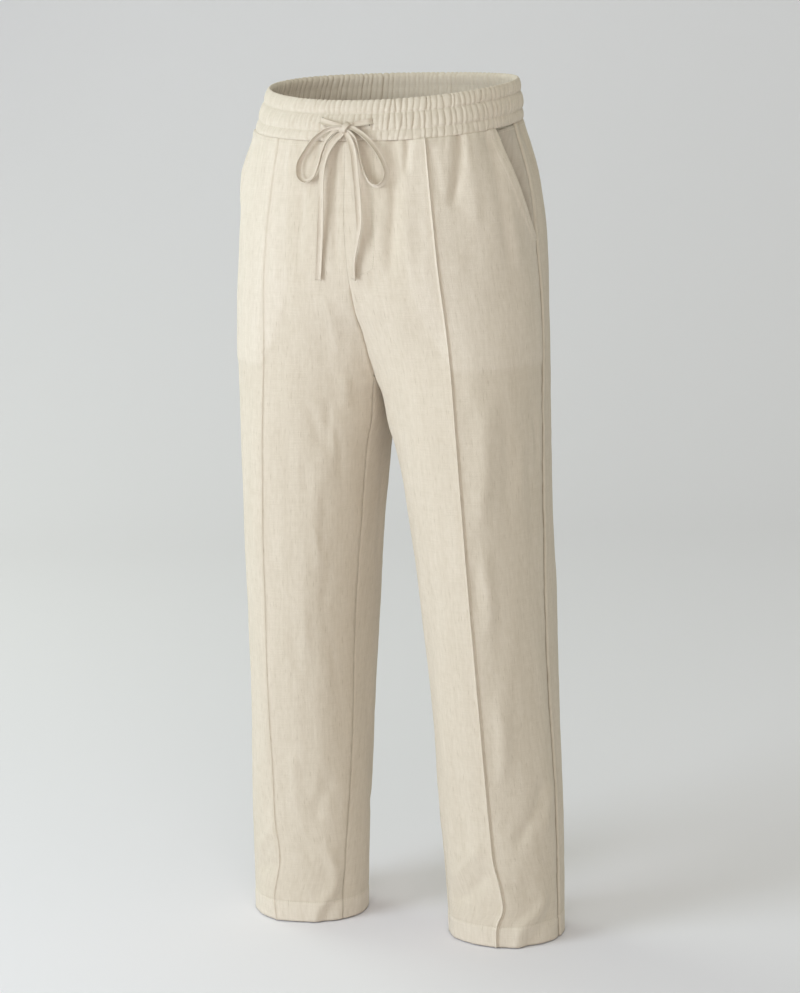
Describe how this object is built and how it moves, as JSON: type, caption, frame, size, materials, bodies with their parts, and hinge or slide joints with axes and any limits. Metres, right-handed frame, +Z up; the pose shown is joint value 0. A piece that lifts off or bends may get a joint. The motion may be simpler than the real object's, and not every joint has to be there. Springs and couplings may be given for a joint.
{
  "type": "linen drawstring trousers",
  "caption": "Full-length linen trousers with a gathered elastic waistband, drawstring bow, slant pockets and stitched pintucks, open at waist and hems.",
  "frame": {"origin": "the waist: the middle of the waistband's ring on the body's axis, half way up the band at the sides", "axes": "+Z up, -Y the wearer's front, +X the wearer's left"},
  "size_m": [0.4122, 0.273, 1.0374],
  "materials": {
    "linen": "plain-weave slubbed linen, ecru, matt",
    "linen_band": "the same linen gathered over elastic",
    "linen_pocket": "the same linen, pocket facing and bag",
    "linen_tape": "flat self-fabric tape, ecru, matt"
  },
  "bodies": {
    "root": {"front_left": "linen", "front_right": "linen", "back_left": "linen", "back_right": "linen", "waistband": "linen_band", "pocket_left": "linen_pocket", "pocket_right": "linen_pocket", "drawstring_knot": "linen_tape", "drawstring_left_run": "linen_tape", "drawstring_left_loop": "linen_tape", "drawstring_left_tail": "linen_tape", "drawstring_right_run": "linen_tape", "drawstring_right_loop": "linen_tape", "drawstring_right_tail": "linen_tape"}
  },
  "joints": []
}
